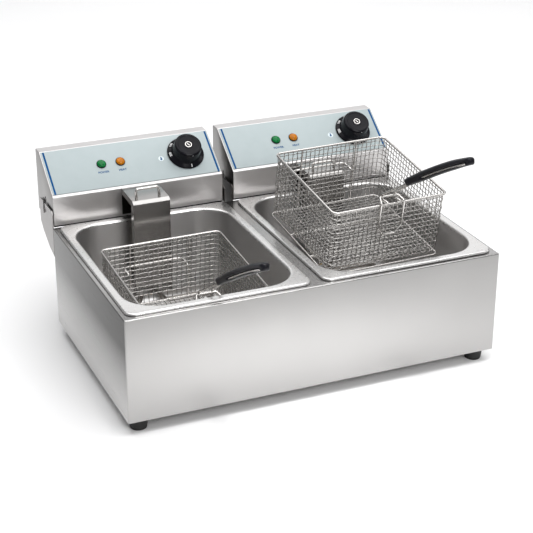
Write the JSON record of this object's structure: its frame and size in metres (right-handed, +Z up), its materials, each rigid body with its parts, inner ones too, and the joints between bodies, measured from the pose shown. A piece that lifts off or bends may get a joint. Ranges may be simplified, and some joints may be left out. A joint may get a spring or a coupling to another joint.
{
  "type": "deep fryer",
  "caption": "Countertop electric deep fryer with lift-out tanks, slotted-on control heads that carry the heating elements, and wire baskets with folding handles.",
  "frame": {"origin": "middle of the whole object at rest, on the surface that it stands on", "axes": "+X to the right seen from the front, +Y to the back, +Z up; the baskets' handles point to -Y"},
  "size_m": [0.564, 0.5718, 0.3736],
  "materials": {
    "steel": "polished stainless sheet, lightly brushed",
    "tank_steel": "satin stainless, drawn",
    "wire": "bright plated wire",
    "element_metal": "heat-darkened stainless tube",
    "brass": "plain",
    "panel_film": "pale blue-grey printed film",
    "black_plastic": "glossy black",
    "rubber": "matte black",
    "green_lens": "translucent green",
    "amber_lens": "translucent amber",
    "red_plastic": "glossy red",
    "ceramic": "unglazed, cream"
  },
  "bodies": {
    "cabinet": {"cabinet_shell": "steel", "base_plate": "steel", "foot_front_left": "rubber", "foot_rear_left": "rubber", "foot_front_right": "rubber", "foot_rear_right": "rubber", "ear_bracket_left": "steel", "ear_bracket_right": "steel", "ear_bracket_centre": "steel"},
    "tank_left": {"tank_left": "tank_steel"},
    "head_left": {"housing_left": "steel", "rear_cover_left": "steel", "panel_overlay_left": "panel_film", "lamp_green_left": "green_lens", "lamp_amber_left": "amber_lens", "thermostat_left": "ceramic", "thermostat_bulb_left": "brass", "limit_thermostat_left": "brass", "terminal_block_left": "ceramic", "cable_gland_left": "black_plastic", "heating_element_left": "element_metal", "element_guard_left": "steel", "basket_hanger_left": "wire", "pivot_rod_left": "steel"},
    "knob_left": {"knob_left": "black_plastic", "knob_spindle_left": "brass"},
    "reset_left": {"reset_button_left": "red_plastic"},
    "basket_left": {"basket_mesh_left": "wire", "basket_frame_left": "wire", "basket_hook_left": "wire", "handle_bracket_left": "wire"},
    "handle_left": {"handle_wire_left": "wire", "handle_grip_left": "black_plastic"},
    "tank_right": {"tank_right": "tank_steel"},
    "head_right": {"housing_right": "steel", "rear_cover_right": "steel", "panel_overlay_right": "panel_film", "lamp_green_right": "green_lens", "lamp_amber_right": "amber_lens", "thermostat_right": "ceramic", "thermostat_bulb_right": "brass", "limit_thermostat_right": "brass", "terminal_block_right": "ceramic", "cable_gland_right": "black_plastic", "heating_element_right": "element_metal", "element_guard_right": "steel", "basket_hanger_right": "wire", "pivot_rod_right": "steel"},
    "knob_right": {"knob_right": "black_plastic", "knob_spindle_right": "brass"},
    "reset_right": {"reset_button_right": "red_plastic"},
    "basket_right": {"basket_mesh_right": "wire", "basket_frame_right": "wire", "basket_hook_right": "wire", "handle_bracket_right": "wire"},
    "handle_right": {"handle_wire_right": "wire", "handle_grip_right": "black_plastic"}
  },
  "joints": [
    {"name": "tank_lift_left", "type": "slide", "parent": "cabinet", "child": "tank_left", "axis": [0, 0, 1], "range_m": [0, 0.16]},
    {"name": "head_lift_left", "type": "slide", "parent": "tank_left", "child": "head_left", "axis": [0, 0, 1], "range_m": [0, 0.2]},
    {"name": "knob_turn_left", "type": "hinge", "parent": "head_left", "child": "knob_left", "pos_m": [-0.056, 0.21926, 0.25164], "axis": [0, 0.5934, -0.8049], "range_deg": [0, 270]},
    {"name": "reset_press_left", "type": "slide", "parent": "head_left", "child": "reset_left", "axis": [0, -1, 0], "range_m": [0, 0.002], "stiffness_N_per_m": 500},
    {"name": "basket_lift_left", "type": "slide", "parent": "head_left", "child": "basket_left", "axis": [0, 0, 1], "range_m": [0, 0.2]},
    {"name": "handle_fold_left", "type": "hinge", "parent": "basket_left", "child": "handle_left", "pos_m": [-0.14221, -0.08472, 0.15762], "axis": [-0.9998, -0.0174, 0], "range_deg": [0, 120]},
    {"name": "tank_lift_right", "type": "slide", "parent": "cabinet", "child": "tank_right", "axis": [0, 0, 1], "range_m": [0, 0.16]},
    {"name": "head_lift_right", "type": "slide", "parent": "tank_right", "child": "head_right", "axis": [0, 0, 1], "range_m": [0, 0.2]},
    {"name": "knob_turn_right", "type": "hinge", "parent": "head_right", "child": "knob_right", "pos_m": [0.23, 0.21926, 0.25164], "axis": [0, 0.5934, -0.8049], "range_deg": [0, 270]},
    {"name": "reset_press_right", "type": "slide", "parent": "head_right", "child": "reset_right", "axis": [0, -1, 0], "range_m": [0, 0.002], "stiffness_N_per_m": 500},
    {"name": "basket_lift_right", "type": "slide", "parent": "head_right", "child": "basket_right", "axis": [0, 0, 1], "range_m": [0, 0.12]},
    {"name": "handle_fold_right", "type": "hinge", "parent": "basket_right", "child": "handle_right", "pos_m": [0.14328, -0.06571, 0.24943], "axis": [-0.999, -0.0454, 0], "range_deg": [0, 120]}
  ]
}
